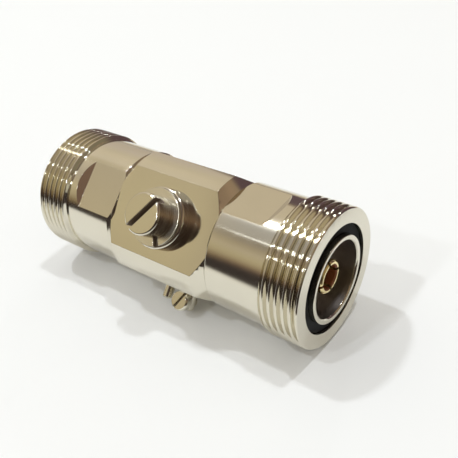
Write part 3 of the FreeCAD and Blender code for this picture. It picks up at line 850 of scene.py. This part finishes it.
def add_table(stage):
    """White table; in front, metal sees it only as far as its edge, and a dim room past that."""
    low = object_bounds()[0].z
    reach = stage.table_reach
    bm = bmesh.new()
    bm.faces.new([bm.verts.new((x * reach + MIDDLE_X, y * reach, low)) for x, y in
                  ((-1, -1), (1, -1), (1, 1), (-1, 1))])
    table = bpy.data.objects.new("table", finish_mesh("table", bm))
    bpy.context.scene.collection.objects.link(table)
    material = bpy.data.materials.new("Table")
    material.use_nodes = True
    tree = material.node_tree
    tree.nodes.clear()
    link = tree.links.new
    white = add_node(tree, "ShaderNodeBsdfDiffuse", (300, 200), Color=TABLE_WHITE)
    where = add_node(tree, "ShaderNodeTexCoord", (-1100, -200))
    apart = add_node(tree, "ShaderNodeSeparateXYZ", (-920, -200))
    link(where.outputs["Object"], apart.inputs[0])
    x, y, _ = apart.outputs
    slant = add_maths(tree, (-740, -100), "MULTIPLY", x, FRONT_SLANT)
    ahead = add_maths(tree, (-560, -100), "SUBTRACT", slant, y)
    front_at, right_at, back_at = stage.table_edge, stage.table_side, stage.table_back
    front, right, back, farther, behind = (
        add_fade(tree, (-380, -100 - 260 * row), value, low_end, high_end)
        for row, (value, low_end, high_end) in enumerate((
            (ahead, front_at, front_at * FRONT_END),
            (x, right_at, right_at * RIGHT_END),
            (y, back_at, back_at * BACK_END),
            (x, right_at * FARTHER_FADE[0], right_at * FARTHER_FADE[1]),
            (y, back_at, back_at * BEHIND_END))))
    past_right = add_mix(tree, (-200, -700), farther, PAST_RIGHT, FARTHER_RIGHT)
    past_right = add_mix(tree, (-20, -700), behind, past_right, BACK_RIGHT)
    seen = add_mix(tree, (-200, -400), right, PAST_BACK, past_right)
    seen = add_mix(tree, (-20, -200), front, seen, PAST_FRONT)
    dim = add_node(tree, "ShaderNodeEmission", (300, 0))
    link(seen, dim.inputs["Color"])
    rays = add_node(tree, "ShaderNodeLightPath", (-380, 300))
    side = add_maths(tree, (-20, 60), "MAXIMUM", front, right)
    off_table = add_maths(tree, (120, 60), "MAXIMUM", side, back)
    beyond = add_maths(tree, (300, 400), "MULTIPLY", off_table, rays.outputs["Is Glossy Ray"])
    mix = add_node(tree, "ShaderNodeMixShader", (500, 100))
    link(beyond, mix.inputs[0])
    link(white.outputs[0], mix.inputs[1])
    link(dim.outputs[0], mix.inputs[2])
    out = add_node(tree, "ShaderNodeOutputMaterial", (700, 100))
    link(mix.outputs[0], out.inputs[0])
    dress(table, material)
    table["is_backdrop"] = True


def add_area(name, toward, distance, side, radiance):
    """A square lamp that faces the object from the given direction."""
    lamp = bpy.data.lights.new(name, "AREA")
    lamp.shape, lamp.size, lamp.color = "SQUARE", side, LAMP_COLOUR
    lamp.energy = radiance * math.pi * side * side
    item = bpy.data.objects.new(name, lamp)
    bpy.context.scene.collection.objects.link(item)
    item.location = MIDDLE + toward * distance
    across = toward.cross(Vector((1.0, 0.0, 0.0))).normalized()
    item.rotation_mode = "QUATERNION"
    axes = Matrix((across.cross(toward), across, toward)).transposed()
    item.rotation_quaternion = axes.to_quaternion()
    item.visible_camera = False
    return item


def lamp_way(sweep, lean):
    """Direction at an angle up from the front, seen along the line, and a lean to the right."""
    angle, rest = math.radians(sweep), math.sqrt(1.0 - lean * lean)
    return Vector((lean, -math.cos(angle) * rest, math.sin(angle) * rest))


def add_lamps(stage):
    """The ceiling lamps, each where its shadow on the table puts it, and the seams."""
    for index, (sweep, lean, side) in enumerate(CEILING_LAMPS):
        toward = lamp_way(sweep, lean)
        add_area(f"ceiling_lamp_{index}", toward, LAMP_DISTANCE, side, stage.lamp_radiance)
        glow = add_area(f"lamp_glow_{index}", toward, LAMP_DISTANCE + GLOW_BEHIND, GLOW_SIDE,
                        stage.lamp_radiance * GLOW_SHARE)
        glow.visible_diffuse = False
    for index, (sweep, lean, length, width, share) in enumerate(SEAMS):
        seam = add_area(f"ceiling_seam_{index}", lamp_way(sweep, lean), LAMP_DISTANCE, length,
                        stage.lamp_radiance * share)
        seam.data.shape, seam.data.size_y = "RECTANGLE", width
        seam.data.energy *= width / length
        seam.visible_diffuse = False


def add_room(stage, scene):
    """The room: even light for dull surfaces, and for metal a tan ceiling and a dark side."""
    world = bpy.data.worlds.new("Room")
    scene.world = world
    world.use_nodes = True
    tree = world.node_tree
    tree.nodes.clear()
    link = tree.links.new
    where = add_node(tree, "ShaderNodeTexCoord", (-1500, 0))
    apart = add_node(tree, "ShaderNodeSeparateXYZ", (-1320, 0))
    link(where.outputs["Generated"], apart.inputs[0])
    x, y, z = apart.outputs
    front = add_maths(tree, (-1140, 40), "MULTIPLY", y, -1.0)
    sweep = add_maths(tree, (-960, 40), "ARCTAN2", z, front)
    share = add_maths(tree, (-780, 40), "DIVIDE", sweep, math.pi)
    ramps = []
    for row, (value, stops) in enumerate(((share, OVERHEAD_LEFT), (share, OVERHEAD_MIDDLE),
                                          (z, RIGHT_WALL), (z, FRONT_RIGHT))):
        ramp = add_ramp(tree, (-600, 400 - 260 * row), stops)
        link(value, ramp.inputs[0])
        ramps.append(ramp.outputs[0])
    middle = add_fade(tree, (-600, -700), x, *MIDDLE_FADE)
    ceiling = add_mix(tree, (-300, 200), middle, ramps[0], ramps[1])
    ahead = add_fade(tree, (-600, -960), front, *AHEAD_FADE)
    wall = add_mix(tree, (-300, -100), ahead, ramps[2], ramps[3])
    behind = add_fade(tree, (-600, -1220), y, *BEHIND_FADE)
    wall = add_mix(tree, (-200, -240), behind, wall, BACK_RIGHT)
    backward = add_maths(tree, (-960, -500), "SUBTRACT", y, ASIDE_START)
    backward = add_maths(tree, (-780, -500), "MAXIMUM", backward, 0.0)
    backward = add_maths(tree, (-600, -500), "MULTIPLY", backward, ASIDE_GAIN)
    rightward = add_maths(tree, (-420, -500), "ADD", backward, x)
    aside = add_fade(tree, (-300, -360), rightward, *ASIDE_FADE)
    walls = add_mix(tree, (-120, -60), aside, ceiling, wall)
    mirrored = add_node(tree, "ShaderNodeBackground", (60, -60))
    link(walls, mirrored.inputs["Color"])
    even = add_node(tree, "ShaderNodeBackground", (60, 120), Strength=stage.air_light,
                    Color=AIR_COLOUR)
    rays = add_node(tree, "ShaderNodeLightPath", (-120, 300))
    mix = add_node(tree, "ShaderNodeMixShader", (260, 0))
    link(rays.outputs["Is Glossy Ray"], mix.inputs[0])
    link(even.outputs[0], mix.inputs[1])
    link(mirrored.outputs[0], mix.inputs[2])
    out = add_node(tree, "ShaderNodeOutputWorld", (460, 0))
    link(mix.outputs[0], out.inputs[0])


def add_camera(scene, stage):
    """The camera at the photograph's own viewpoint, distance and tilt."""
    data = bpy.data.cameras.new("camera")
    data.lens, data.sensor_width, data.clip_start = stage.lens, SENSOR_WIDTH, CLIP_START
    camera = bpy.data.objects.new("camera", data)
    scene.collection.objects.link(camera)
    right, back = Vector(CAMERA_RIGHT).normalized(), Vector(CAMERA_BACK)
    back = (back - right * back.dot(right)).normalized()
    up = back.cross(right)
    turn = Matrix((right, up, back)).transposed().to_4x4()
    camera.matrix_world = Matrix.Translation(CAMERA_PLACE) @ turn
    scene.camera = camera


class ARRESTOR_PT_panel(bpy.types.Panel):
    """Lists the sizes and the steps"""

    bl_label = "Lightning arrestor"
    bl_idname = "ARRESTOR_PT_panel"
    bl_space_type = "VIEW_3D"
    bl_region_type = "UI"
    bl_category = "Arrestor"

    def draw(self, context):
        for title, group in (("Thread", context.scene.arrestor_thread),
                             ("Plating", context.scene.arrestor_plating),
                             ("Stage", context.scene.arrestor_stage)):
            column = self.layout.box().column()
            column.label(text=title)
            for name in group.__annotations__:
                column.prop(group, name)
        for step in STEPS:
            self.layout.operator(step.bl_idname)


STEPS = (ARRESTOR_OT_finishes, ARRESTOR_OT_connector_shells, ARRESTOR_OT_centre_block,
         ARRESTOR_OT_port, ARRESTOR_OT_earth_terminal, ARRESTOR_OT_contacts,
         ARRESTOR_OT_inner_pieces, ARRESTOR_OT_stage)
CLASSES = (ThreadSizes, PlatingColours, StageSizes, *STEPS, ARRESTOR_PT_panel)


def register():
    """Adds the sizes, the steps and the panel to Blender."""
    for item in CLASSES:
        bpy.utils.register_class(item)
    bpy.types.Scene.arrestor_thread = PointerProperty(type=ThreadSizes)
    bpy.types.Scene.arrestor_plating = PointerProperty(type=PlatingColours)
    bpy.types.Scene.arrestor_stage = PointerProperty(type=StageSizes)


def unregister():
    """Takes them out again, last first."""
    for name in ("arrestor_stage", "arrestor_plating", "arrestor_thread"):
        delattr(bpy.types.Scene, name)
    for item in reversed(CLASSES):
        bpy.utils.unregister_class(item)


def main():
    """Builds the looks step by step."""
    register()
    bpy.ops.arrestor.finishes()
    bpy.ops.arrestor.connector_shells()
    bpy.ops.arrestor.centre_block()
    bpy.ops.arrestor.port()
    bpy.ops.arrestor.earth_terminal()
    bpy.ops.arrestor.contacts()
    bpy.ops.arrestor.inner_pieces()
    bpy.ops.arrestor.stage()


if __name__ == "__main__":
    main()
